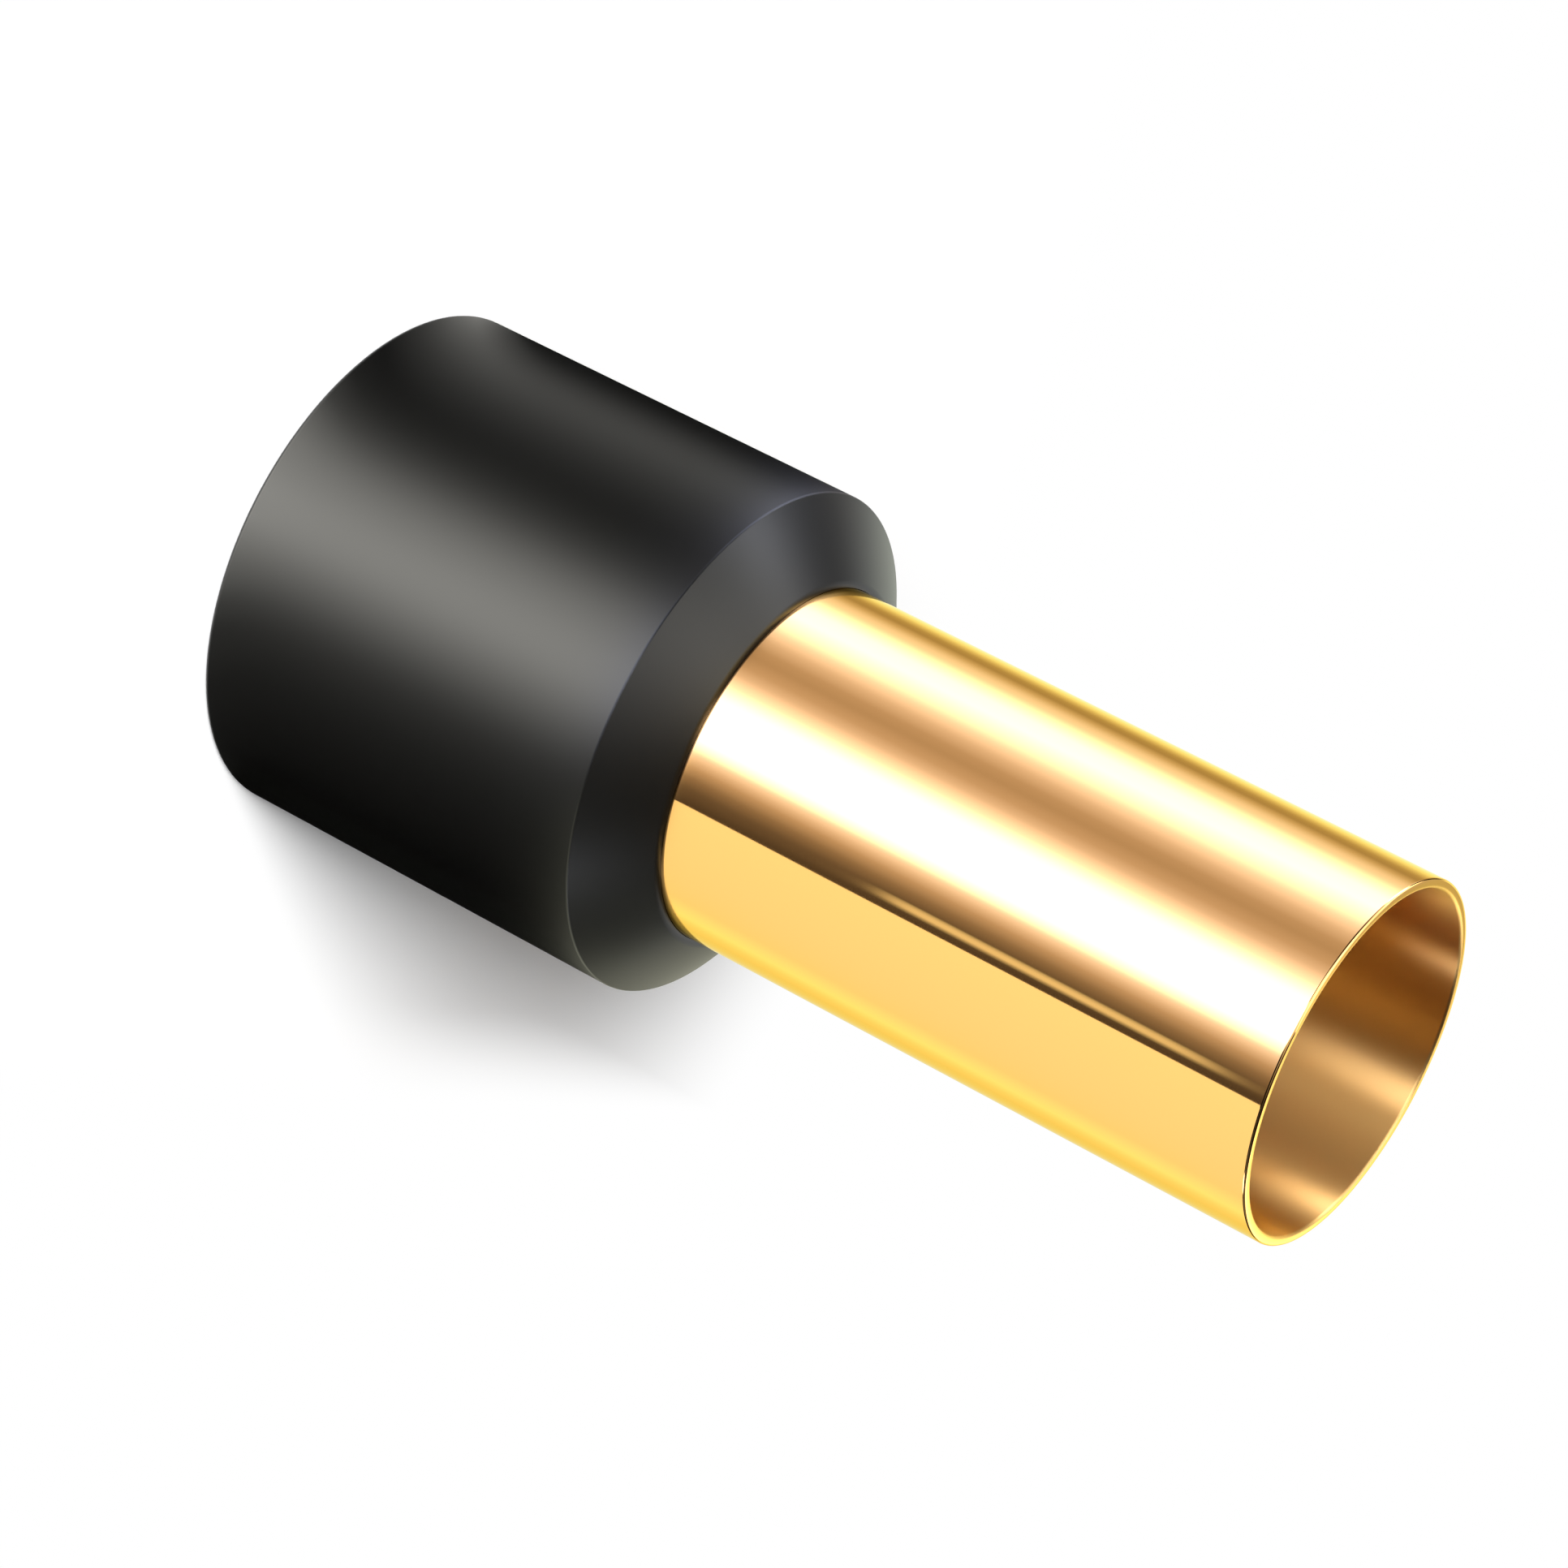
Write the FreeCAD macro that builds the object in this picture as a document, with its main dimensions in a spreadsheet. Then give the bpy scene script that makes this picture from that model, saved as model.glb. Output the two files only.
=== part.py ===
import FreeCAD, Part
import math
import os

import Sketcher

# Insulated wire ferrule, standing on the rear rim of its collar.
# The frame's origin is the middle of that rim, and +Z runs along the axis, out through the barrel's mouth.
# Both pieces are turned forms: each is one section in the XZ plane, swept once round the Z axis.

V = FreeCAD.Vector

# Driving sizes in millimetres, angles in degrees
SIZES = {
    "barrel_diameter": 9.05,
    "barrel_wall": 0.25,
    "barrel_reach": 16.0,
    "mouth_bevel": 0.07,
    "flare_angle": 38.0,
    "flare_bend": 0.8,
    "bell_clearance": 0.4,
    "grip_gap": 0.01,
    "collar_diameter": 12.82,
    "collar_length": 12.15,
    "collar_wall": 0.56,
    "shoulder_length": 1.25,
    "lip_step": 0.12,
    "ridge_round": 0.18,
    "rear_round": 0.18,
    "funnel_round": 0.6,
    "lead_in": 0.15,
}

# Names for a sketch curve's ends and centre, and for the sketch's own origin, which is also its X axis
START = 1
END = 2
CENTRE = 3
ORIGIN = -1

TOLERANCE = 1e-6

doc = FreeCAD.newDocument("wire_ferrule")


def make_sheet():
    """Puts each driving size into a named cell."""
    sheet = doc.addObject("Spreadsheet::Sheet", "sizes")
    for row, (alias, value) in enumerate(SIZES.items(), start=1):
        sheet.set(f"A{row}", alias.replace("_", " "))
        sheet.set(f"B{row}", str(value))
        sheet.setAlias(f"B{row}", alias)
    return sheet


def origin_feature(body, role):
    """The body's own origin plane or axis of that role."""
    return next(f for f in body.Origin.OriginFeatures if f.Role == role)


def make_body(label):
    body = doc.addObject("PartDesign::Body", label)
    body.Label = label
    body.Placement = FreeCAD.Placement(V(0, 0, 0), FreeCAD.Rotation())
    return body


def attach_sketch(body, name):
    """A sketch on the body's XZ plane: its X is the radius and its Y is the height along the axis."""
    sketch = body.newObject("Sketcher::SketchObject", name)
    sketch.AttachmentSupport = [(origin_feature(body, "XZ_Plane"), "")]
    sketch.MapMode = "FlatFace"
    return sketch


def line(sketch, start, end):
    return sketch.addGeometry(Part.LineSegment(V(*start, 0), V(*end, 0)))


def arc(sketch, centre, radius, first, last):
    """An arc that runs counter-clockwise between two angles in radians."""
    circle = Part.Circle(V(*centre, 0), V(0, 0, 1), radius)
    return sketch.addGeometry(Part.ArcOfCircle(circle, first, last))


def bind(sketch, name, formula, kind, *parts):
    """Adds a named constraint whose size, first guessed in its last part, follows a formula of the cells."""
    index = sketch.addConstraint(Sketcher.Constraint(kind, *parts))
    sketch.renameConstraint(index, name)
    sketch.setExpression(f"Constraints.{name}", formula)


def relate(sketch, kind, *parts):
    """Adds a constraint that has no size of its own."""
    sketch.addConstraint(Sketcher.Constraint(kind, *parts))


def revolve(body, sketch, name):
    """Sweeps the section a full turn round the body's Z axis."""
    turned = body.newObject("PartDesign::Revolution", name)
    turned.Profile = sketch
    turned.ReferenceAxis = (origin_feature(body, "Z_Axis"), [""])
    turned.Angle = 360.0
    sketch.Visibility = False
    doc.recompute()
    return turned


def ring_edges(feature, radius, height):
    """Names of the feature's full circles of that radius at that height."""
    names = []
    for index, edge in enumerate(feature.Shape.Edges, start=1):
        if not isinstance(edge.Curve, Part.Circle):
            continue
        same_radius = abs(edge.Curve.Radius - radius) < TOLERANCE
        if same_radius and abs(edge.Curve.Center.z - height) < TOLERANCE:
            names.append(f"Edge{index}")
    if not names:
        raise RuntimeError(f"{feature.Label} has no edge of radius {radius} at height {height}")
    return names


def dress_rings(body, kind, base, name, size_cell, rings):
    """Rounds (Fillet) or bevels (Chamfer) circular edges of a feature by one cell of the sheet."""
    dressed = body.newObject("PartDesign::" + kind, name)
    dressed.Base = (base, [edge for ring in rings for edge in ring_edges(base, *ring)])
    dressed.setExpression("Radius" if kind == "Fillet" else "Size", "sizes." + size_cell)
    doc.recompute()
    return dressed


# First-guess values for the sketches; the sheet's formulas then hold them
sheet = make_sheet()
doc.recompute()
barrel_radius = sheet.barrel_diameter / 2
bore_radius = barrel_radius - sheet.barrel_wall
sleeve_radius = sheet.collar_diameter / 2 - sheet.collar_wall
bell_radius = sleeve_radius - sheet.bell_clearance
flare_tilt = math.radians(sheet.flare_angle)
bend_centre = (barrel_radius + sheet.flare_bend, sheet.collar_length)
mouth_height = sheet.collar_length + sheet.barrel_reach


def on_bend(radius, reach=0.0):
    """Point where an arc about the bend's centre meets the flare, or further down the flare by reach."""
    x = bend_centre[0] - radius * math.cos(flare_tilt) + reach * math.sin(flare_tilt)
    z = bend_centre[1] - radius * math.sin(flare_tilt) - reach * math.cos(flare_tilt)
    return x, z


# Crimp barrel: a thin straight tube, belled outwards below the collar's lip to lie on its inner funnel
def make_crimp_barrel():
    body = make_body("crimp_barrel")
    sketch = attach_sketch(body, "barrel_section")
    outer_bend = sheet.flare_bend
    inner_bend = sheet.flare_bend + sheet.barrel_wall
    flare_length = (bell_radius - on_bend(outer_bend)[0]) / math.sin(flare_tilt)
    bell_outer = on_bend(outer_bend, flare_length)
    bell_inner = on_bend(inner_bend, flare_length)
    outer_line = line(sketch, (barrel_radius, mouth_height), (barrel_radius, sheet.collar_length))
    outer_arc = arc(sketch, bend_centre, outer_bend, math.pi, math.pi + flare_tilt)
    outer_flare = line(sketch, on_bend(outer_bend), bell_outer)
    bell_face = line(sketch, bell_outer, bell_inner)
    inner_flare = line(sketch, bell_inner, on_bend(inner_bend))
    inner_arc = arc(sketch, bend_centre, inner_bend, math.pi, math.pi + flare_tilt)
    inner_line = line(sketch, (bore_radius, sheet.collar_length), (bore_radius, mouth_height))
    mouth_face = line(sketch, (bore_radius, mouth_height), (barrel_radius, mouth_height))
    relate(sketch, "Tangent", outer_line, END, outer_arc, START)
    relate(sketch, "Tangent", outer_arc, END, outer_flare, START)
    relate(sketch, "Coincident", outer_flare, END, bell_face, START)
    relate(sketch, "Coincident", bell_face, END, inner_flare, START)
    relate(sketch, "Tangent", inner_flare, END, inner_arc, END)
    relate(sketch, "Tangent", inner_arc, START, inner_line, START)
    relate(sketch, "Coincident", inner_line, END, mouth_face, START)
    relate(sketch, "Coincident", mouth_face, END, outer_line, START)
    relate(sketch, "Coincident", outer_arc, CENTRE, inner_arc, CENTRE)
    relate(sketch, "Vertical", outer_line)
    relate(sketch, "Vertical", inner_line)
    relate(sketch, "Horizontal", mouth_face)
    relate(sketch, "Perpendicular", outer_flare, bell_face)
    relate(sketch, "Parallel", outer_flare, inner_flare)
    bind(sketch, "outer_radius", "sizes.barrel_diameter / 2",
         "DistanceX", ORIGIN, START, outer_line, START, barrel_radius)
    bind(sketch, "wall", "sizes.barrel_wall",
         "DistanceX", inner_line, END, outer_line, START, sheet.barrel_wall)
    bind(sketch, "mouth_height", "sizes.collar_length + sizes.barrel_reach",
         "DistanceY", ORIGIN, START, outer_line, START, mouth_height)
    bind(sketch, "bend_height", "sizes.collar_length",
         "DistanceY", ORIGIN, START, outer_arc, CENTRE, sheet.collar_length)
    bind(sketch, "bend_radius", "sizes.flare_bend",
         "Radius", outer_arc, outer_bend)
    bind(sketch, "bell_radius", "sizes.collar_diameter / 2 - sizes.collar_wall - sizes.bell_clearance",
         "DistanceX", ORIGIN, START, outer_flare, END, bell_radius)
    bind(sketch, "flare_slope", "sizes.flare_angle - 90",
         "Angle", outer_flare, flare_tilt - math.pi / 2)
    tube = revolve(body, sketch, "belled_tube")
    dress_rings(body, "Chamfer", tube, "deburred_mouth", "mouth_bevel",
                [(barrel_radius, mouth_height), (bore_radius, mouth_height)])
    return body


# Insulating collar: a straight sleeve with a conical shoulder outside and a funnel inside
def make_insulating_collar():
    body = make_body("insulating_collar")
    sketch = attach_sketch(body, "collar_section")
    gap = sheet.grip_gap
    outer_radius = sheet.collar_diameter / 2
    seat_radius = barrel_radius + gap
    lip_radius = barrel_radius + sheet.lip_step
    corner_bend = sheet.flare_bend - gap
    ridge_corner = (outer_radius, sheet.collar_length - sheet.shoulder_length)
    shoulder_tilt = math.atan2(outer_radius - lip_radius, sheet.shoulder_length)
    ridge_centre = (outer_radius - sheet.ridge_round,
                    ridge_corner[1] - sheet.ridge_round * math.tan(shoulder_tilt / 2))
    ridge_end = (ridge_centre[0] + sheet.ridge_round * math.cos(shoulder_tilt),
                 ridge_centre[1] + sheet.ridge_round * math.sin(shoulder_tilt))
    funnel_top = on_bend(corner_bend)
    throat_x = sleeve_radius - sheet.funnel_round
    throat_reach = sheet.funnel_round + (throat_x - funnel_top[0]) * math.cos(flare_tilt)
    throat_centre = (throat_x, funnel_top[1] - throat_reach / math.sin(flare_tilt))
    throat_top = (throat_centre[0] + sheet.funnel_round * math.cos(flare_tilt),
                  throat_centre[1] + sheet.funnel_round * math.sin(flare_tilt))

    rear_face = line(sketch, (sleeve_radius, 0), (outer_radius, 0))
    side = line(sketch, (outer_radius, 0), (outer_radius, ridge_centre[1]))
    ridge = arc(sketch, ridge_centre, sheet.ridge_round, 0, shoulder_tilt)
    shoulder = line(sketch, ridge_end, (lip_radius, sheet.collar_length))
    lip = line(sketch, (lip_radius, sheet.collar_length), (seat_radius, sheet.collar_length))
    corner = arc(sketch, bend_centre, corner_bend, math.pi, math.pi + flare_tilt)
    funnel = line(sketch, funnel_top, throat_top)
    throat = arc(sketch, throat_centre, sheet.funnel_round, 0, flare_tilt)
    bore = line(sketch, (sleeve_radius, throat_centre[1]), (sleeve_radius, 0))
    sharp_ridge = sketch.addGeometry(Part.Point(V(*ridge_corner, 0)), True)

    relate(sketch, "Coincident", rear_face, END, side, START)
    relate(sketch, "Tangent", side, END, ridge, START)
    relate(sketch, "Tangent", ridge, END, shoulder, START)
    relate(sketch, "Coincident", shoulder, END, lip, START)
    relate(sketch, "Coincident", lip, END, corner, START)
    relate(sketch, "PointOnObject", corner, CENTRE, lip)
    relate(sketch, "Tangent", corner, END, funnel, START)
    relate(sketch, "Tangent", funnel, END, throat, END)
    relate(sketch, "Tangent", throat, START, bore, START)
    relate(sketch, "Coincident", bore, END, rear_face, START)
    for upright in (side, bore):
        relate(sketch, "Vertical", upright)
    relate(sketch, "Horizontal", lip)
    relate(sketch, "PointOnObject", rear_face, START, ORIGIN)
    relate(sketch, "PointOnObject", rear_face, END, ORIGIN)
    relate(sketch, "PointOnObject", sharp_ridge, START, side)
    relate(sketch, "PointOnObject", sharp_ridge, START, shoulder)
    bind(sketch, "outer_radius", "sizes.collar_diameter / 2",
         "DistanceX", ORIGIN, START, side, START, outer_radius)
    bind(sketch, "bore_radius", "sizes.collar_diameter / 2 - sizes.collar_wall",
         "DistanceX", ORIGIN, START, bore, END, sleeve_radius)
    bind(sketch, "seat_radius", "sizes.barrel_diameter / 2 + sizes.grip_gap",
         "DistanceX", ORIGIN, START, corner, START, seat_radius)
    bind(sketch, "lip_radius", "sizes.barrel_diameter / 2 + sizes.lip_step",
         "DistanceX", ORIGIN, START, lip, START, lip_radius)
    bind(sketch, "length", "sizes.collar_length",
         "DistanceY", ORIGIN, START, lip, START, sheet.collar_length)
    bind(sketch, "shoulder_length", "sizes.shoulder_length",
         "DistanceY", sharp_ridge, START, shoulder, END, sheet.shoulder_length)
    bind(sketch, "ridge_radius", "sizes.ridge_round", "Radius", ridge, sheet.ridge_round)
    bind(sketch, "corner_radius", "sizes.flare_bend - sizes.grip_gap", "Radius", corner, corner_bend)
    bind(sketch, "funnel_slope", "sizes.flare_angle - 90", "Angle", funnel, flare_tilt - math.pi / 2)
    bind(sketch, "throat_radius", "sizes.funnel_round", "Radius", throat, sheet.funnel_round)
    sleeve = revolve(body, sketch, "shouldered_sleeve")
    rear = dress_rings(body, "Fillet", sleeve, "rear_rounding", "rear_round", [(outer_radius, 0)])
    dress_rings(body, "Chamfer", rear, "lead_in", "lead_in", [(sleeve_radius, 0)])
    return body


def check_and_write(bodies):
    """Stops on any failed object or shape, then writes one STEP file for each sub-part."""
    doc.recompute()
    for item in doc.Objects:
        if "Invalid" in item.State or "Error" in item.State:
            raise RuntimeError(f"{item.Label} failed: {item.State}")
    for body in bodies:
        if body.Shape.isNull() or not body.Shape.isValid():
            raise RuntimeError(f"{body.Label} has no valid shape")
    os.makedirs("parts", exist_ok=True)
    for body in bodies:
        body.Shape.exportStep(os.path.join("parts", body.Label + ".step"))


check_and_write([make_crimp_barrel(), make_insulating_collar()])
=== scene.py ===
"""Insulated wire ferrule: a gold-coloured crimp barrel in a black moulded collar, on its rear rim."""

import math

import bmesh
import bpy
from mathutils import Matrix, Vector


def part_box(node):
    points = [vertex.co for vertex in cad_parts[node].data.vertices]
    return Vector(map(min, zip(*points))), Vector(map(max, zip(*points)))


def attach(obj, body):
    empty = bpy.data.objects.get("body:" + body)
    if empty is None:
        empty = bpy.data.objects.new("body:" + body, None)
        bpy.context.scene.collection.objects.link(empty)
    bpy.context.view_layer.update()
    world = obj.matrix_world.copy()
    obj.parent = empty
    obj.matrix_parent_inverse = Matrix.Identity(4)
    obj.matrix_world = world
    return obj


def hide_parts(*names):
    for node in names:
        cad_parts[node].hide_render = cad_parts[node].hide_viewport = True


bl_info = {
    "name": "Wire Ferrule",
    "version": (1, 0, 0),
    "blender": (4, 5, 0),
    "location": "3D View > Sidebar > Ferrule",
    "description": "Builds a wire ferrule and its small studio",
    "category": "Object",
}

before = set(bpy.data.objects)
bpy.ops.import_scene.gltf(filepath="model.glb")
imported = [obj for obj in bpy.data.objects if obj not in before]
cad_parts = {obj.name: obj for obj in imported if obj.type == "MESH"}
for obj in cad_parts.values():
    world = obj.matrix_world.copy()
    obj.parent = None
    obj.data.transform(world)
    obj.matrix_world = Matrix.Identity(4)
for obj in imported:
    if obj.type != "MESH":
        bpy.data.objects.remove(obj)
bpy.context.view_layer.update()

MM = 0.001
BARREL_LOW, BARREL_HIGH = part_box("crimp_barrel")
COLLAR_LOW, COLLAR_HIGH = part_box("insulating_collar")


# Mesh helpers: a turned piece is drawn as half a section in the XZ plane, then spun round the Z axis


def start_section(name, point):
    """Adds a small circle, merges it to one vertex and puts that at the section's first corner."""
    bpy.ops.object.select_all(action="DESELECT")
    bpy.ops.mesh.primitive_circle_add(vertices=3, radius=0.1 * MM, location=(0, 0, 0))
    piece = bpy.context.object
    piece.name = name
    piece.data.name = name
    bpy.ops.object.mode_set(mode="EDIT")
    bpy.ops.mesh.select_all(action="SELECT")
    bpy.ops.mesh.merge(type="CENTER")
    bpy.ops.transform.translate(value=(point[0], 0, point[1]))
    return piece


def draw_line(name, corners):
    """Extrudes one vertex from corner to corner, each a radius and a height in metres."""
    piece = start_section(name, corners[0])
    here = corners[0]
    for there in corners[1:]:
        step = (there[0] - here[0], 0, there[1] - here[1])
        bpy.ops.mesh.extrude_region_move(TRANSFORM_OT_translate={"value": step})
        here = there
    return piece


def draw_section(name, corners):
    """Draws the line from corner to corner and closes it to an outline."""
    piece = draw_line(name, corners)
    pick_corners(piece, [corners[0], corners[-1]])
    bpy.ops.mesh.edge_face_add()
    return piece


def pick_corners(piece, corners):
    """Selects the section's vertices that lie at these corners, and nothing else."""
    mesh = bmesh.from_edit_mesh(piece.data)
    wanted = [Vector((radius, 0, height)) for radius, height in corners]
    for vertex in mesh.verts:
        vertex.select = False
    for vertex in mesh.verts:
        if any((vertex.co - place).length < 0.002 * MM for place in wanted):
            vertex.select = True
    mesh.select_flush_mode()
    bmesh.update_edit_mesh(piece.data)


def round_corner(piece, corner, offset, segments):
    """Rounds one corner of the section, starting that offset before and after it."""
    pick_corners(piece, [corner])
    bpy.ops.mesh.bevel(
        offset_type="OFFSET", offset=offset, segments=segments, profile=0.5,
        affect="VERTICES", clamp_overlap=False,
    )


def spin_section(piece, steps):
    """Spins the section into a turned form with its faces outwards."""
    bpy.ops.mesh.select_all(action="SELECT")
    bpy.ops.mesh.spin(
        steps=steps, angle=math.tau, center=(0, 0, 0), axis=(0, 0, 1), use_auto_merge=True)
    bpy.ops.mesh.select_all(action="SELECT")
    bpy.ops.mesh.remove_doubles(threshold=0.0005 * MM)
    bpy.ops.mesh.normals_make_consistent(inside=False)
    bpy.ops.object.mode_set(mode="OBJECT")
    bpy.ops.object.shade_smooth_by_angle(angle=math.radians(35))
    settle = piece.modifiers.new("face_weighted_normals", "WEIGHTED_NORMAL")
    settle.keep_sharp = True
    settle.weight = 90
    bpy.ops.object.modifier_apply(modifier=settle.name)


def bend_point(centre, radius, tilt):
    """Point at that tilt on a bend whose centre lies outside the barrel's wall."""
    return centre[0] - radius * math.cos(tilt), centre[1] - radius * math.sin(tilt)


# Node helpers


def new_tree(owner):
    owner.use_nodes = True
    tree = owner.node_tree
    tree.nodes.clear()
    return tree


def node(tree, kind, **settings):
    made = tree.nodes.new(kind)
    for name, value in settings.items():
        setattr(made, name, value)
    return made


def feed(tree, socket, value):
    """Links another node's socket to this one, or gives it a value of its own."""
    if isinstance(value, bpy.types.NodeSocket):
        tree.links.new(value, socket)
    else:
        socket.default_value = value


def maths(tree, operation, *values):
    made = node(tree, "ShaderNodeMath", operation=operation)
    for socket, value in zip(made.inputs, values):
        feed(tree, socket, value)
    return made.outputs[0]


def mix(tree, kind, factor, first, second, blend="MIX"):
    """Mixes two numbers (kind FLOAT) or two colours (kind RGBA)."""
    made = node(tree, "ShaderNodeMix", data_type=kind, blend_type=blend)
    for name, value in (("Factor", factor), ("A", first), ("B", second)):
        feed(tree, made.inputs[name], value)
    return made.outputs["Result"]


def smooth_range(tree, value, low, high, to_low=0.0, to_high=1.0):
    """Goes smoothly from to_low to to_high while the value goes from low to high."""
    made = node(tree, "ShaderNodeMapRange", interpolation_type="SMOOTHSTEP")
    names = ("Value", "From Min", "From Max", "To Min", "To Max")
    for name, setting in zip(names, (value, low, high, to_low, to_high)):
        feed(tree, made.inputs[name], setting)
    return made.outputs["Result"]


def place_in_object(tree):
    """Sockets for the object's coordinates: the vector, x, y, z and the distance from the axis."""
    coordinates = node(tree, "ShaderNodeTexCoord")
    split = node(tree, "ShaderNodeSeparateXYZ")
    tree.links.new(coordinates.outputs["Object"], split.inputs[0])
    x, y, z = split.outputs
    squares = maths(tree, "ADD", maths(tree, "MULTIPLY", x, x), maths(tree, "MULTIPLY", y, y))
    return coordinates.outputs["Object"], x, y, z, maths(tree, "SQRT", squares)


def stretched_noise(tree, vector, scale, stretch, detail):
    """Noise on the object's coordinates, with its grain stretched by a scale for each axis."""
    mapping = node(tree, "ShaderNodeMapping")
    feed(tree, mapping.inputs["Scale"], stretch)
    feed(tree, mapping.inputs["Vector"], vector)
    noise = node(tree, "ShaderNodeTexNoise")
    feed(tree, noise.inputs["Scale"], scale)
    feed(tree, noise.inputs["Detail"], detail)
    feed(tree, noise.inputs["Vector"], mapping.outputs["Vector"])
    return noise.outputs["Fac"]


def waver(tree, middle, noise, spread):
    """A level that the noise moves up and down round its middle."""
    return maths(tree, "MULTIPLY_ADD", noise, spread, middle - spread / 2)


def relief(tree, height, strength, distance):
    bump = node(tree, "ShaderNodeBump")
    feed(tree, bump.inputs["Strength"], strength)
    feed(tree, bump.inputs["Distance"], distance)
    feed(tree, bump.inputs["Height"], height)
    return bump.outputs["Normal"]


def principled(tree, values):
    shader = node(tree, "ShaderNodeBsdfPrincipled")
    for name, value in values.items():
        feed(tree, shader.inputs[name], value)
    return shader.outputs["BSDF"]


def set_surface(tree, shader, kind="ShaderNodeOutputMaterial"):
    tree.links.new(shader, node(tree, kind).inputs["Surface"])


# Finishes


def bright_barrel_metal(settings):
    """Gold-coloured metal: drawn to a mirror outside, and satin across the grain inside the bore."""
    material = bpy.data.materials.new("bright_barrel_metal")
    tree = new_tree(material)
    vector, _, _, _, radius = place_in_object(tree)
    wall = settings.wall
    bore = settings.radius - wall
    outside = smooth_range(tree, radius, bore + wall * 0.1, bore + wall * 0.4)
    grain = stretched_noise(tree, vector, scale=900, stretch=(1.0, 1.0, 0.04), detail=3.0)
    patches = stretched_noise(tree, vector, scale=260, stretch=(1.0, 1.0, 0.35), detail=2.0)
    tangent = node(tree, "ShaderNodeTangent", direction_type="RADIAL", axis="Z")
    set_surface(tree, principled(tree, {
        "Base Color": mix(
            tree, "RGBA", outside, (*settings.inner_colour, 1.0), (*settings.colour, 1.0)),
        "Metallic": 1.0,
        "Roughness": mix(
            tree, "FLOAT", outside, waver(tree, settings.inner_roughness, patches, 0.05),
            waver(tree, settings.outer_roughness, grain, 0.025)),
        "Specular Tint": (1.0, 0.93, 0.40, 1.0),
        "Anisotropic": 1.0,
        "Anisotropic Rotation": 0.25,
        "Normal": relief(tree, grain, strength=0.06, distance=0.0004 * MM),
        "Tangent": tangent.outputs["Tangent"],
    }))
    return material


def satin_black_plastic(settings):
    """Black moulded plastic with a fine spark-eroded grain and slightly uneven satin."""
    material = bpy.data.materials.new("satin_black_plastic")
    tree = new_tree(material)
    vector = place_in_object(tree)[0]
    fine = stretched_noise(tree, vector, scale=9000, stretch=(1.0, 1.0, 1.0), detail=2.0)
    flow = stretched_noise(tree, vector, scale=160, stretch=(1.0, 1.0, 0.4), detail=3.0)
    paler = [share * 1.35 for share in settings.colour]
    set_surface(tree, principled(tree, {
        "Base Color": mix(tree, "RGBA", flow, (*settings.colour, 1.0), (*paler, 1.0)),
        "Roughness": waver(tree, settings.roughness, flow, 0.05),
        "IOR": 1.5,
        "Specular IOR Level": 0.5,
        "Normal": relief(tree, fine, strength=0.15, distance=0.002 * MM),
    }))
    return material


# Settings


class FerruleBarrelSettings(bpy.types.PropertyGroup):
    radius: bpy.props.FloatProperty(
        name="Radius", description="Outside radius of the straight barrel",
        default=4.525 * MM, unit="LENGTH", precision=5)
    wall: bpy.props.FloatProperty(
        name="Wall", description="Thickness of the metal",
        default=0.25 * MM, unit="LENGTH", precision=5)
    mouth: bpy.props.FloatProperty(
        name="Mouth height", description="Height of the barrel's mouth above the rear rim",
        default=BARREL_HIGH.z, unit="LENGTH", precision=5)
    bend: bpy.props.FloatProperty(
        name="Bend radius", description="Outside radius of the bend into the bell",
        default=0.8 * MM, unit="LENGTH", precision=5)
    flare: bpy.props.FloatProperty(
        name="Flare", description="Angle of the bell to the axis",
        default=math.radians(38.0), subtype="ANGLE")
    bell: bpy.props.FloatProperty(
        name="Bell radius", description="Outside radius of the belled end",
        default=BARREL_HIGH.x, unit="LENGTH", precision=5)
    rim_round: bpy.props.FloatProperty(
        name="Rim rounding", description="Rounding of the mouth's two edges",
        default=0.07 * MM, unit="LENGTH", precision=5)
    colour: bpy.props.FloatVectorProperty(
        name="Colour", description="Colour of the metal",
        default=(0.98, 0.56, 0.215), subtype="COLOR", min=0.0, max=1.0)
    inner_colour: bpy.props.FloatVectorProperty(
        name="Inside colour", description="Colour of the metal in the bore",
        default=(0.93, 0.585, 0.225), subtype="COLOR", min=0.0, max=1.0)
    outer_roughness: bpy.props.FloatProperty(
        name="Outside roughness", description="Roughness of the drawn outside",
        default=0.06, min=0.0, max=1.0)
    inner_roughness: bpy.props.FloatProperty(
        name="Inside roughness", description="Roughness across the grain in the bore",
        default=0.39, min=0.0, max=1.0)
    steps: bpy.props.IntProperty(
        name="Steps", description="Steps of a full turn", default=256, min=32)


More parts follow.
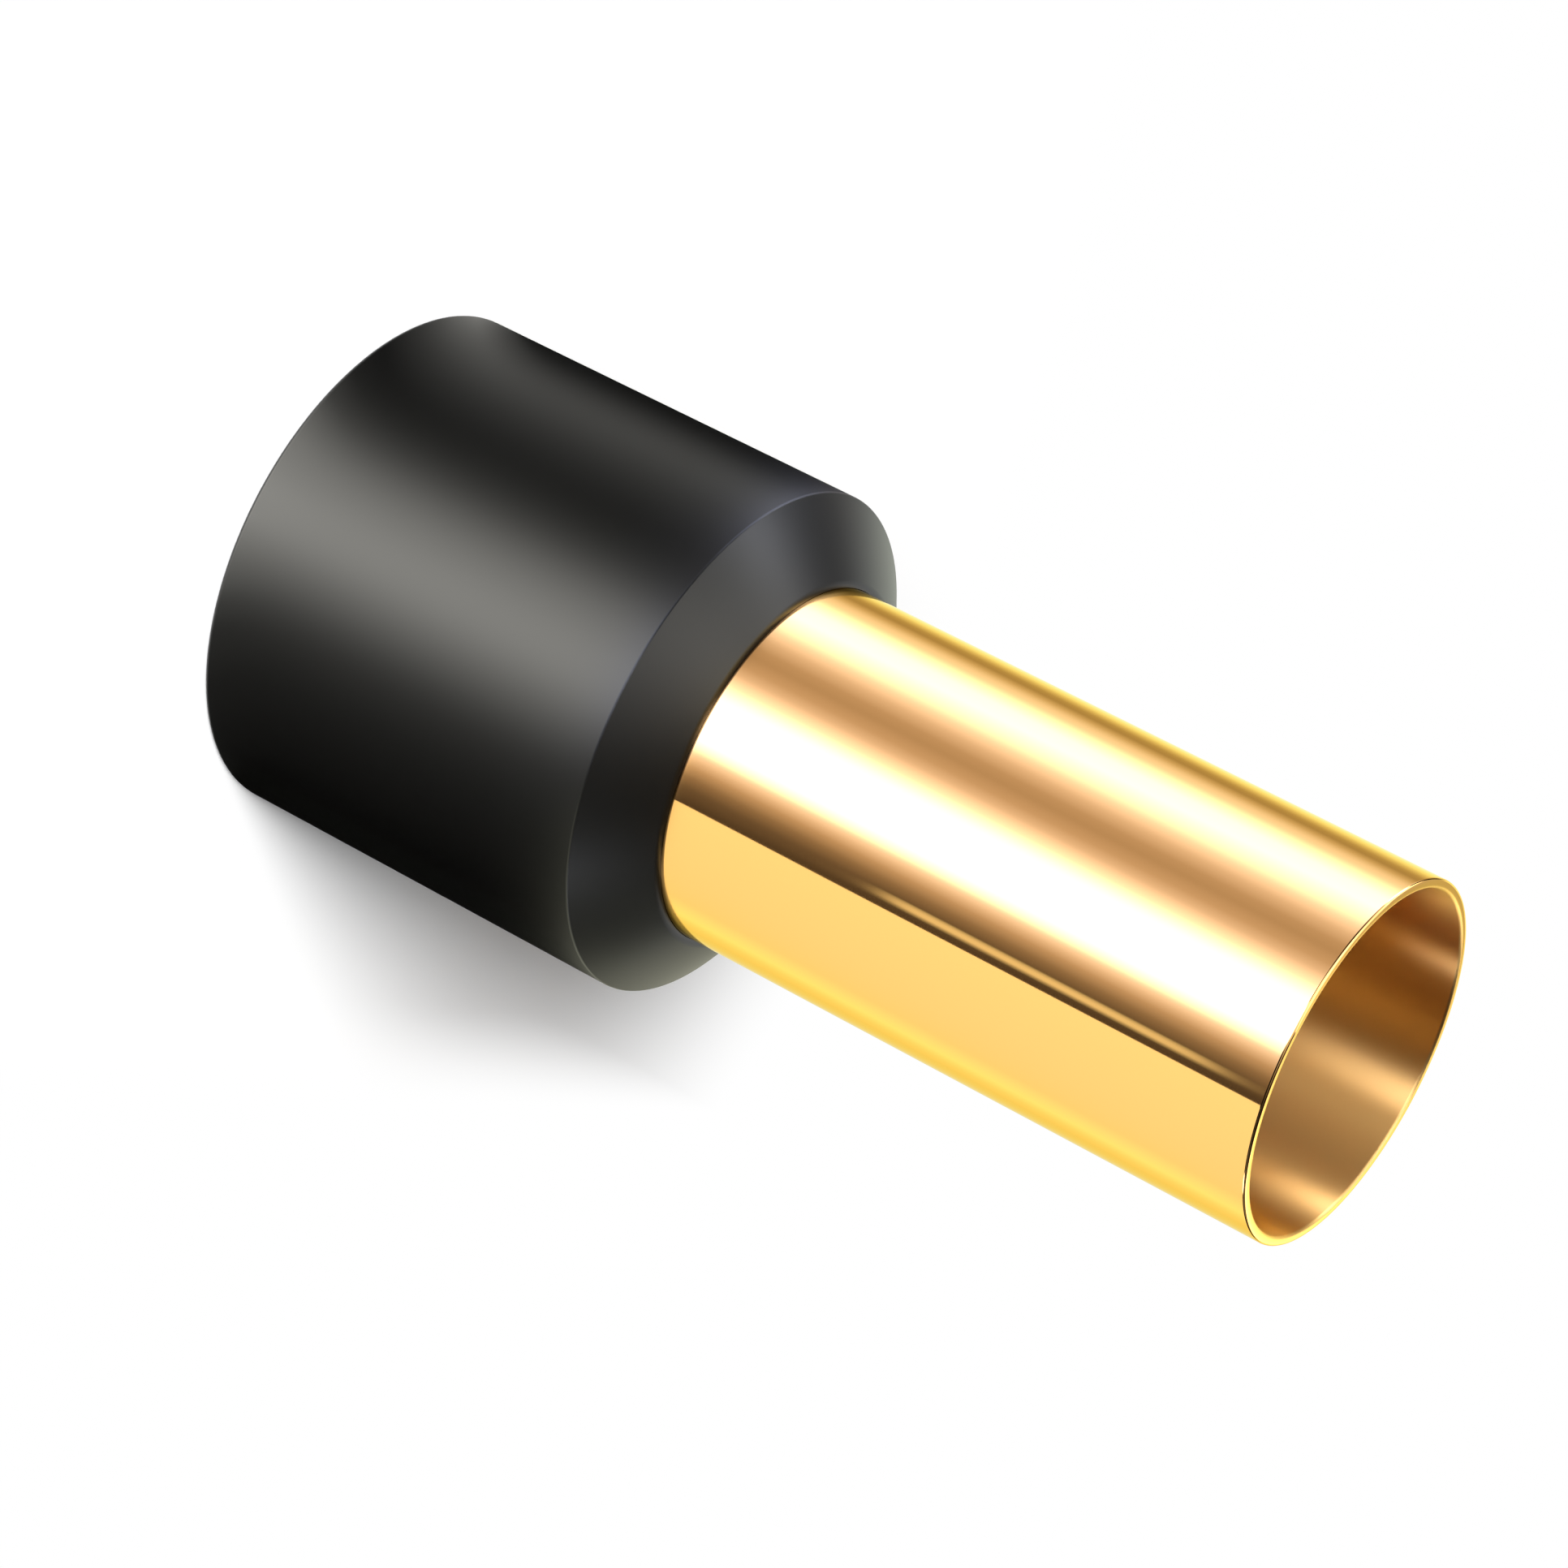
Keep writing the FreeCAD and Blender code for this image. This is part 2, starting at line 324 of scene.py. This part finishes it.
class FerruleCollarSettings(bpy.types.PropertyGroup):
    radius: bpy.props.FloatProperty(
        name="Radius", description="Outside radius of the collar",
        default=COLLAR_HIGH.x, unit="LENGTH", precision=5)
    length: bpy.props.FloatProperty(
        name="Length", description="Length of the collar from its rear rim to its lip",
        default=COLLAR_HIGH.z, unit="LENGTH", precision=5)
    wall: bpy.props.FloatProperty(
        name="Wall", description="Wall round the insulation bore",
        default=0.56 * MM, unit="LENGTH", precision=5)
    shoulder: bpy.props.FloatProperty(
        name="Shoulder", description="Length of the conical shoulder along the axis",
        default=1.25 * MM, unit="LENGTH", precision=5)
    lip_step: bpy.props.FloatProperty(
        name="Lip", description="Width of the flat lip round the barrel",
        default=0.12 * MM, unit="LENGTH", precision=5)
    grip_gap: bpy.props.FloatProperty(
        name="Gap", description="Gap between the collar and the barrel",
        default=0.01 * MM, unit="LENGTH", precision=5)
    lip_round: bpy.props.FloatProperty(
        name="Lip rounding", description="Rounding of the lip's outer edge",
        default=0.1 * MM, unit="LENGTH", precision=5)
    ridge_round: bpy.props.FloatProperty(
        name="Ridge rounding", description="Rounding where the shoulder meets the sleeve",
        default=0.07 * MM, unit="LENGTH", precision=5)
    rear_round: bpy.props.FloatProperty(
        name="Rear rounding", description="Rounding of the rear rim's outer edge",
        default=0.18 * MM, unit="LENGTH", precision=5)
    funnel_round: bpy.props.FloatProperty(
        name="Funnel rounding", description="Rounding where the funnel meets the insulation bore",
        default=0.6 * MM, unit="LENGTH", precision=5)
    lead_in: bpy.props.FloatProperty(
        name="Lead-in", description="Bevel of the rear rim's inner edge",
        default=0.15 * MM, unit="LENGTH", precision=5)
    colour: bpy.props.FloatVectorProperty(
        name="Colour", description="Colour of the plastic",
        default=(0.0014, 0.0013, 0.0010), subtype="COLOR", min=0.0, max=1.0)
    roughness: bpy.props.FloatProperty(
        name="Roughness", description="Roughness of the moulded skin",
        default=0.38, min=0.0, max=1.0)
    steps: bpy.props.IntProperty(
        name="Steps", description="Steps of a full turn", default=192, min=32)


class FerruleStageSettings(bpy.types.PropertyGroup):
    lens: bpy.props.FloatProperty(
        name="Lens", description="Focal length in millimetres", default=134.8, min=1.0)
    elevation: bpy.props.FloatProperty(
        name="Camera elevation", description="Camera's height above the floor as an angle",
        default=math.radians(25.56), subtype="ANGLE")
    roll: bpy.props.FloatProperty(
        name="Camera roll", description="Turn of the camera about its own line of sight",
        default=math.radians(117.29), subtype="ANGLE")
    distance: bpy.props.FloatProperty(
        name="Camera distance", description="Distance from the rear rim along the line of sight",
        default=142.225 * MM, unit="LENGTH", precision=5)
    aside: bpy.props.FloatProperty(
        name="Camera aside", description="Sideways step of the camera",
        default=0.319 * MM, unit="LENGTH", precision=5)
    above: bpy.props.FloatProperty(
        name="Camera above", description="Step of the camera up the picture of the axis",
        default=11.257 * MM, unit="LENGTH", precision=5)
    tent_radius: bpy.props.FloatProperty(
        name="Tent radius", description="Radius of the high light tent, which only gloss reflects",
        default=24.0 * MM, unit="LENGTH", precision=5)
    tent_height: bpy.props.FloatProperty(
        name="Tent height", description="Height of the high light tent",
        default=50.0 * MM, unit="LENGTH", precision=5)
    pocket_radius: bpy.props.FloatProperty(
        name="Pocket radius", description="How far the pocket round the high tent reaches out",
        default=60.0 * MM, unit="LENGTH", precision=5)
    pocket_floor: bpy.props.FloatProperty(
        name="Pocket floor", description="Height of the pocket's lit floor",
        default=8.5 * MM, unit="LENGTH", precision=5)
    pocket_top: bpy.props.FloatProperty(
        name="Pocket top", description="Height of the pocket's dark lid where it meets the tent",
        default=27.3 * MM, unit="LENGTH", precision=5)
    lid_rise: bpy.props.FloatProperty(
        name="Lid rise", description="How much higher the pocket's lid ends further out",
        default=2.7 * MM, unit="LENGTH", precision=5)
    low_tent_radius: bpy.props.FloatProperty(
        name="Low tent radius", description="Radius of the low light tent round the collar",
        default=10.0 * MM, unit="LENGTH", precision=5)
    low_tent_height: bpy.props.FloatProperty(
        name="Low tent height", description="Height of the low light tent",
        default=9.3 * MM, unit="LENGTH", precision=5)
    tent_level: bpy.props.FloatProperty(
        name="Tent level", description="Brightness of a full card, where white is 1",
        default=11.5, min=0.0)
    lamp_strength: bpy.props.FloatProperty(
        name="Lamp strength", description="Strength of the shadow lamp",
        default=4.8, min=0.0)
    lamp_elevation: bpy.props.FloatProperty(
        name="Lamp elevation", description="Height of the shadow lamp above the floor as an angle",
        default=math.radians(25.0), subtype="ANGLE")
    lamp_width: bpy.props.FloatProperty(
        name="Lamp width", description="Angle that the shadow lamp fills; it softens the shadow",
        default=math.radians(28.0), subtype="ANGLE")
    room_level: bpy.props.FloatProperty(
        name="Room level", description="Soft light from all sides",
        default=0.10, min=0.0)


# Pieces


class FERRULE_OT_crimp_barrel(bpy.types.Operator):
    """Builds the thin metal barrel with its belled rear end"""

    bl_idname = "ferrule.crimp_barrel"
    bl_label = "Crimp Barrel"

    def execute(self, context):
        barrel = context.scene.ferrule_barrel
        outer, wall, tilt = barrel.radius, barrel.wall, barrel.flare
        lip_height = COLLAR_HIGH.z
        centre = (outer + barrel.bend, lip_height)
        inner_bend = barrel.bend + wall
        outer_end = bend_point(centre, barrel.bend, tilt)
        reach = (barrel.bell - outer_end[0]) / math.sin(tilt)
        bell_outer = (barrel.bell, outer_end[1] - reach * math.cos(tilt))
        bell_inner = (bell_outer[0] - wall * math.cos(tilt), bell_outer[1] - wall * math.sin(tilt))
        outer_reach = barrel.bend * math.tan(tilt / 2)
        inner_reach = inner_bend * math.tan(tilt / 2)
        outer_bend = (outer, lip_height - outer_reach)
        inner_corner = (outer - wall, lip_height - inner_reach)
        outer_rim = (outer, barrel.mouth)
        inner_rim = (outer - wall, barrel.mouth)
        piece = draw_section("gold_crimp_barrel", [
            outer_rim, outer_bend, bell_outer, bell_inner, inner_corner, inner_rim,
        ])
        round_corner(piece, outer_bend, outer_reach, 8)
        round_corner(piece, inner_corner, inner_reach, 8)
        round_corner(piece, outer_rim, barrel.rim_round, 4)
        round_corner(piece, inner_rim, barrel.rim_round, 4)
        spin_section(piece, barrel.steps)
        piece.data.materials.append(bright_barrel_metal(barrel))
        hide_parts("crimp_barrel")
        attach(piece, "root")
        return {"FINISHED"}


class FERRULE_OT_insulating_collar(bpy.types.Operator):
    """Builds the black moulded collar with its conical shoulder and inner funnel"""

    bl_idname = "ferrule.insulating_collar"
    bl_label = "Insulating Collar"

    def execute(self, context):
        barrel = context.scene.ferrule_barrel
        collar = context.scene.ferrule_collar
        tilt = barrel.flare
        outer, bore, length = collar.radius, collar.radius - collar.wall, collar.length
        seat = barrel.radius + collar.grip_gap
        corner_bend = barrel.bend - collar.grip_gap
        centre = (barrel.radius + barrel.bend, length)
        corner_reach = corner_bend * math.tan(tilt / 2)
        corner = (seat, length - corner_reach)
        funnel_top = bend_point(centre, corner_bend, tilt)
        throat = (bore, funnel_top[1] - (bore - funnel_top[0]) / math.tan(tilt))
        throat_reach = collar.funnel_round * math.tan(tilt / 2)
        ridge = (outer, length - collar.shoulder)
        lip = (barrel.radius + collar.lip_step, length)
        ridge_tilt = math.atan2(outer - lip[0], collar.shoulder)
        ridge_reach = collar.ridge_round * math.tan(ridge_tilt / 2)
        rear_outer = (outer, 0.0)
        piece = draw_section("black_insulating_collar", [
            rear_outer, ridge, lip, (seat, length), corner, throat,
            (bore, collar.lead_in), (bore + collar.lead_in, 0.0),
        ])
        round_corner(piece, ridge, ridge_reach, 10)
        round_corner(piece, lip, collar.lip_round, 4)
        round_corner(piece, corner, corner_reach, 8)
        round_corner(piece, throat, throat_reach, 6)
        round_corner(piece, rear_outer, collar.rear_round, 6)
        spin_section(piece, collar.steps)
        piece.data.materials.append(satin_black_plastic(collar))
        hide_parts("insulating_collar")
        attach(piece, "root")
        return {"FINISHED"}


# Stage

# Cards of the light tents, each an angle in degrees and a level, where white is 1. Those of the
# windows, the table and the streak go by the angle on the barrel, from the camera's side, where the
# card is seen mirrored; the others by their azimuth on the tent.
WINDOW_CARDS = [
    (-90, 0.93), (-84, 1.14), (-80, 1.22), (-76, 1.06), (-73, 0.72), (-70, 0.44), (-67, 0.37),
    (-64, 0.62), (-61, 0.98), (-58, 1.24), (-54, 2.20), (-50, 3.20), (-45, 3.40), (-40, 2.30),
    (-36, 1.33), (-32, 0.80), (-28, 0.50), (-25, 0.44), (-21, 0.57), (-18, 0.84), (-14, 1.65),
    (-10, 3.40), (-6, 4.30), (3, 4.20), (6, 2.50), (8, 1.20), (10, 0.80), (12, 0.50), (15, 0.25),
    (18, 0.13), (23, 0.06),
]
TABLE_CARDS = [
    (23, 1.25), (30, 1.22), (36, 1.20), (56, 1.13), (61, 1.30), (64, 1.36), (68, 1.12), (72, 0.98),
    (84, 0.90), (90, 0.80),
]
STREAK_CARDS = [(17.8, 0.0), (18.5, 0.90), (20.0, 0.90), (20.7, 0.0)]
COLLAR_CARDS = [
    (-180, 1.8), (-168, 1.2), (-158, 0.0), (-100, 0.0), (-90, 0.30), (-80, 0.82), (-72, 0.72),
    (-60, 0.34), (-46, 0.03), (-36, 0.17), (-28, 0.82), (-15, 4.0), (-3, 5.9), (4, 5.6), (15, 2.6),
    (24, 0.88), (31, 0.36), (45, 0.13), (60, 0.05), (80, 0.0), (158, 0.0), (168, 1.2), (180, 1.8),
]
BORE_CARDS = [
    (-180, 1.3), (-150, 1.3), (-140, 0.0), (-111, 0.0), (-105, 7.0), (-97, 11.5), (-91, 7.0),
    (-85, 0.0), (-17, 0.0), (-12, 5.6), (-6, 8.8), (2, 7.8), (8, 1.5), (12, 0.0), (82, 0.0),
    (86, 5.2), (94, 5.2), (98, 0.0), (140, 0.0), (150, 1.3), (180, 1.3),
]
CEILING_CARDS = [
    (-180, 1.3), (-170, 0.6), (-132, 0.6), (-120, 2.9), (-110, 4.2), (-100, 1.8), (-90, 1.5),
    (-82, 0.8), (-74, 0.2), (-60, 0.1), (-44, 0.3), (-32, 2.4), (-18, 1.8), (-2, 1.5), (8, 0.4),
    (16, 0.0), (138, 0.2), (150, 3.2), (162, 3.0), (172, 1.8), (180, 1.3),
]
CAP_CARDS = [
    (-100, 1.8), (-86, 3.3), (-73, 3.7), (-54, 3.1), (-30, 1.9), (0, 0.95), (30, 0.35), (54, 0.05),
    (90, 0.0),
]
# The pocket's lid is lit only behind the ferrule, where the rim of the barrel's mouth reflects it
LID_CARDS = [(-180, 0.95), (-161, 0.95), (-154, 0.0), (154, 0.0), (161, 0.95), (180, 0.95)]

HORIZON = 22.9  # angle on the barrel in degrees where the windows end and the table begins
STREAK_IN = (24.2 * MM, 27.0 * MM)  # distances from the axis between which the streak comes in
STREAK_OUT = (51.5 * MM, 54.5 * MM)  # and those between which it goes out
BORE_START = (28.0 * MM, 28.6 * MM)  # heights between which the bore's cards take over
CEILING_SIDES = (0.16, 0.20)  # turns from the camera's side between which the ceiling comes down
CEILING_START = (38.0 * MM, 34.0 * MM)  # from the first of these heights to the second
LOW_TENT_SIDES = (0.08, 0.42)  # turns from the camera's side between which the low tent's edge falls
LOW_TENT_BACK = 0.83  # share of the low tent's height that is left behind the ferrule
SEAM = 0.05 * MM  # how close to a wall of the tent a place counts as on it
TENT_STEPS = 192

LAMP_SIDE = Vector((0.983, -0.182, 0.0)).normalized()
# Further out, the floor's white glow is an even white. Where it comes in, it also paints light over
# the lamp's cast shadow, which cuts the shadow's tail short and makes its +Y edge narrower.
FLOOR_FADE = (20.0 * MM, 34.0 * MM)  # distances from the axis between which the floor turns white
FLOOR_SIDE_FADE = (11.4 * MM, 14.6 * MM)  # and those from a line along the shadow, on its +Y side
FLOOR_SIDE_SLOPE = -0.15  # slope of that line in the floor


def barrel_angle(tree, azimuth, radius, settings, barrel_radius):
    """Angle on the barrel, in turns, where the camera sees this place of the tent mirrored."""
    camera_distance = settings.distance * math.cos(settings.elevation)
    nearness = maths(tree, "DIVIDE", barrel_radius / 2, radius)
    nearness = maths(tree, "SUBTRACT", nearness, barrel_radius / 2 / camera_distance)
    half = maths(tree, "MULTIPLY", azimuth, 0.5)
    angle = half
    for _ in range(2):
        shift = maths(tree, "MULTIPLY", nearness, maths(tree, "SINE", angle))
        angle = maths(tree, "ADD", half, shift)
    return maths(tree, "DIVIDE", angle, math.tau)


def window_colour(angle, level):
    """Warm where the light is dim and cool where it is bright, save at the barrel's edge."""
    cool = min(max((level - 0.35) / 0.7, 0.0), 1.0)
    cool_blue = cool * min(max((angle + 77) / 8, 0.0), 1.0)
    return level * (1.16 - 0.21 * cool), level, level * (0.86 + 0.44 * cool_blue)


def bore_colour(angle, level):
    return level * 0.97, level, level * 1.1


def table_colour(angle, level):
    return level, level, level * 0.77


def plain_colour(angle, level):
    return level, level * 0.985, level * 0.92


def card_ring(tree, turn, cards, full, colour=plain_colour, span=360.0):
    """A light that goes from card to card over that span of degrees, as a share of the full level."""
    ring = node(tree, "ShaderNodeValToRGB")
    stops = ring.color_ramp.elements
    while len(stops) > 1:
        stops.remove(stops[-1])
    for index, (angle, level) in enumerate(cards):
        place = angle / span + 0.5
        stop = stops[0] if index == 0 else stops.new(place)
        stop.position = place
        stop.color = (*[share / full for share in colour(angle, level)], 1.0)
    feed(tree, ring.inputs["Fac"], maths(tree, "MULTIPLY_ADD", turn, 360.0 / span, 0.5))
    return ring.outputs["Color"]


def tent_start(name):
    """Material of a tent, with the azimuth in radians, the height and the distance from the axis."""
    material = bpy.data.materials.new(name)
    tree = new_tree(material)
    _, x, y, z, radius = place_in_object(tree)
    return material, tree, maths(tree, "ARCTAN2", y, x), z, radius


def glow(tree, colour, strength):
    light = node(tree, "ShaderNodeEmission")
    feed(tree, light.inputs["Color"], colour)
    feed(tree, light.inputs["Strength"], strength)
    return light.outputs["Emission"]


def mix_shaders(tree, factor, first, second):
    made = node(tree, "ShaderNodeMixShader")
    for socket, value in zip(made.inputs, (factor, first, second)):
        feed(tree, socket, value)
    return made.outputs["Shader"]


def low_tent_light(settings):
    """Cards that only the collar's sleeve reflects, ending lower behind it for the barrel's foot."""
    material, tree, azimuth, z, _ = tent_start("low_tent_light")
    turn = maths(tree, "DIVIDE", azimuth, math.tau)
    light = card_ring(tree, turn, COLLAR_CARDS, settings.tent_level)
    height = settings.low_tent_height
    edge = smooth_range(
        tree, maths(tree, "ABSOLUTE", turn), *LOW_TENT_SIDES, height, height * LOW_TENT_BACK)
    clear = node(tree, "ShaderNodeBsdfTransparent").outputs["BSDF"]
    set_surface(tree, mix_shaders(
        tree, maths(tree, "GREATER_THAN", z, edge), glow(tree, light, settings.tent_level), clear))
    return material


def high_tent_light(settings, barrel_radius):
    """The barrel's cards low down and in the pocket, then the lid's, the bore's and the ceiling's."""
    material, tree, azimuth, z, radius = tent_start("high_tent_light")
    full = settings.tent_level
    turn = maths(tree, "DIVIDE", azimuth, math.tau)
    seen = barrel_angle(tree, azimuth, radius, settings, barrel_radius)

    window = card_ring(tree, seen, WINDOW_CARDS, full, window_colour, 180.0)
    table = card_ring(tree, seen, TABLE_CARDS, full, table_colour, 180.0)
    streak = card_ring(tree, seen, STREAK_CARDS, full, table_colour, 180.0)
    streak_share = maths(
        tree, "MULTIPLY",
        smooth_range(tree, radius, *STREAK_IN), smooth_range(tree, radius, *STREAK_OUT, 1.0, 0.0))
    window = mix(tree, "RGBA", streak_share, window, streak, "LIGHTEN")
    on_table = maths(tree, "GREATER_THAN", seen, HORIZON / 360.0)
    light = mix(tree, "RGBA", on_table, window, table)

    beyond = maths(tree, "SUBTRACT", radius, settings.tent_radius)
    slope = settings.lid_rise / (settings.pocket_radius - settings.tent_radius)
    level_height = maths(tree, "SUBTRACT", z, maths(tree, "MULTIPLY", beyond, slope))
    on_lid = maths(
        tree, "MULTIPLY", maths(tree, "GREATER_THAN", beyond, SEAM),
        maths(tree, "GREATER_THAN", level_height, settings.pocket_top - SEAM))
    in_bore = smooth_range(tree, z, *BORE_START)
    aside = maths(tree, "ABSOLUTE", turn)
    in_ceiling = maths(
        tree, "GREATER_THAN", z, smooth_range(tree, aside, *CEILING_SIDES, *CEILING_START))
    on_cap = maths(tree, "GREATER_THAN", z, settings.tent_height - SEAM)
    for share, cards, colour in (
        (on_lid, LID_CARDS, plain_colour),
        (in_bore, BORE_CARDS, bore_colour),
        (in_ceiling, CEILING_CARDS, plain_colour),
        (on_cap, CAP_CARDS, plain_colour),
    ):
        light = mix(tree, "RGBA", share, light, card_ring(tree, turn, cards, full, colour))
    set_surface(tree, glow(tree, light, full))
    return material


def floor_paint(toward_lamp):
    """Pale floor: lit near the ferrule, where its shadow lies, and white further out, which also
    paints light over that shadow's tail and side.
    """
    material = bpy.data.materials.new("floor_paint")
    tree = new_tree(material)
    _, x, y, _, radius = place_in_object(tree)
    facing = node(tree, "ShaderNodeCombineXYZ")
    for socket, share in zip(facing.inputs, toward_lamp):
        feed(tree, socket, share)
    lit = node(tree, "ShaderNodeBsdfDiffuse")
    feed(tree, lit.inputs["Color"], (0.95, 0.95, 0.95, 1.0))
    feed(tree, lit.inputs["Normal"], facing.outputs[0])
    # Painted light: the white glow mixed in with distance, and beside a line along the shadow, covers
    # the shadow's tail and its +Y edge, so the cast shadow shows shorter and narrower.
    beside = maths(tree, "MULTIPLY_ADD", x, FLOOR_SIDE_SLOPE, y)
    fade = maths(
        tree, "MAXIMUM", smooth_range(tree, radius, *FLOOR_FADE, 0.02, 1.0),
        smooth_range(tree, beside, *FLOOR_SIDE_FADE))
    white = glow(tree, (1.0, 1.0, 1.0, 1.0), 1.0)
    set_surface(tree, mix_shaders(tree, fade, lit.outputs["BSDF"], white))
    return material


def white_room(settings):
    """White to the camera and to gloss, and a soft grey light on everything else."""
    world = bpy.data.worlds.new("white_room")
    bpy.context.scene.world = world
    tree = new_tree(world)
    path = node(tree, "ShaderNodeLightPath")
    seen = maths(tree, "MAXIMUM", path.outputs["Is Camera Ray"], path.outputs["Is Glossy Ray"])
    seen = maths(tree, "MAXIMUM", seen, path.outputs["Is Transmission Ray"])
    background = node(tree, "ShaderNodeBackground")
    feed(tree, background.inputs["Color"], (1.0, 1.0, 1.0, 1.0))
    feed(tree, background.inputs["Strength"], mix(tree, "FLOAT", seen, settings.room_level, 1.0))
    set_surface(tree, background.outputs["Background"], "ShaderNodeOutputWorld")


def spin_tent(name, corners, material):
    """A thin wall turned from a line of corners, seen by gloss only."""
    tent = draw_line(name, corners)
    spin_section(tent, TENT_STEPS)
    tent.data.materials.append(material)
    tent.visible_camera = False
    tent.visible_diffuse = False
    tent.visible_transmission = False
    tent.visible_volume_scatter = False
    tent.visible_shadow = False
    return tent


class FERRULE_OT_stage(bpy.types.Operator):
    """Sets the pale floor, the light tents, the shadow lamp, the white room and the camera"""

    bl_idname = "ferrule.stage"
    bl_label = "Stage"

    def execute(self, context):
        stage = context.scene.ferrule_stage
        toward_lamp = LAMP_SIDE * math.cos(stage.lamp_elevation)
        toward_lamp.z = math.sin(stage.lamp_elevation)

        bpy.ops.object.select_all(action="DESELECT")
        bpy.ops.mesh.primitive_plane_add(size=4.0, location=(0, 0, 0))
        floor = context.object
        floor.name = "pale_floor"
        bpy.ops.object.mode_set(mode="EDIT")
        bpy.ops.mesh.select_all(action="SELECT")
        bpy.ops.transform.translate(value=(0, 0, -0.01 * MM))
        bpy.ops.object.mode_set(mode="OBJECT")
        floor.data.materials.append(floor_paint(toward_lamp))

        low_tent = spin_tent("low_tent", [
            (6.43 * MM, 0.02 * MM),
            (stage.low_tent_radius, 0.02 * MM),
            (stage.low_tent_radius, stage.low_tent_height),
        ], low_tent_light(stage))
        high_tent = spin_tent("high_tent", [
            (stage.tent_radius, 0.3 * MM),
            (stage.tent_radius, stage.pocket_floor),
            (stage.pocket_radius, stage.pocket_floor),
            (stage.pocket_radius, stage.pocket_top + stage.lid_rise),
            (stage.tent_radius, stage.pocket_top),
            (stage.tent_radius, stage.tent_height),
            (0.02 * MM, stage.tent_height),
        ], high_tent_light(stage, context.scene.ferrule_barrel.radius))

        bpy.ops.object.select_all(action="DESELECT")
        bpy.ops.object.light_add(type="SUN", location=toward_lamp * 0.3)
        lamp = context.object
        lamp.name = "shadow_lamp"
        lamp.rotation_euler = toward_lamp.to_track_quat("Z", "Y").to_euler()
        lamp.data.energy = stage.lamp_strength
        lamp.data.angle = stage.lamp_width
        lamp.visible_glossy = False

        white_room(stage)
        context.scene.view_settings.view_transform = "Standard"
        self.set_camera(context, stage)
        return {"FINISHED"}

    def set_camera(self, context, stage):
        back = Vector((math.cos(stage.elevation), 0, math.sin(stage.elevation)))
        aside = Vector((0, 1, 0))
        above = back.cross(aside)
        right = aside * math.cos(stage.roll) + above * math.sin(stage.roll)
        up = above * math.cos(stage.roll) - aside * math.sin(stage.roll)
        bpy.ops.object.select_all(action="DESELECT")
        bpy.ops.object.camera_add()
        camera = context.object
        camera.name = "photo_camera"
        camera.data.sensor_width = 36.0
        camera.data.lens = stage.lens
        camera.data.clip_start = 1.0 * MM
        camera.data.clip_end = 10.0
        turned = Matrix((right, up, back)).transposed().to_4x4()
        turned.translation = back * stage.distance + aside * stage.aside + above * stage.above
        camera.matrix_world = turned
        context.scene.camera = camera


class FERRULE_PT_sidebar(bpy.types.Panel):
    """Lists the ferrule's pieces and their settings"""

    bl_idname = "FERRULE_PT_sidebar"
    bl_label = "Wire Ferrule"
    bl_space_type = "VIEW_3D"
    bl_region_type = "UI"
    bl_category = "Ferrule"

    def draw(self, context):
        scene = context.scene
        for operator, settings in (
            ("ferrule.crimp_barrel", scene.ferrule_barrel),
            ("ferrule.insulating_collar", scene.ferrule_collar),
            ("ferrule.stage", scene.ferrule_stage),
        ):
            box = self.layout.box()
            box.operator(operator)
            for name in settings.bl_rna.properties.keys():
                if name not in {"rna_type", "name"}:
                    box.prop(settings, name)


CLASSES = (
    FerruleBarrelSettings,
    FerruleCollarSettings,
    FerruleStageSettings,
    FERRULE_OT_crimp_barrel,
    FERRULE_OT_insulating_collar,
    FERRULE_OT_stage,
    FERRULE_PT_sidebar,
)


def register():
    for kind in CLASSES:
        bpy.utils.register_class(kind)
    bpy.types.Scene.ferrule_barrel = bpy.props.PointerProperty(type=FerruleBarrelSettings)
    bpy.types.Scene.ferrule_collar = bpy.props.PointerProperty(type=FerruleCollarSettings)
    bpy.types.Scene.ferrule_stage = bpy.props.PointerProperty(type=FerruleStageSettings)


def unregister():
    del bpy.types.Scene.ferrule_stage
    del bpy.types.Scene.ferrule_collar
    del bpy.types.Scene.ferrule_barrel
    for kind in reversed(CLASSES):
        bpy.utils.unregister_class(kind)


def main():
    register()
    bpy.ops.ferrule.crimp_barrel()
    bpy.ops.ferrule.insulating_collar()
    bpy.ops.ferrule.stage()


if __name__ == "__main__":
    main()
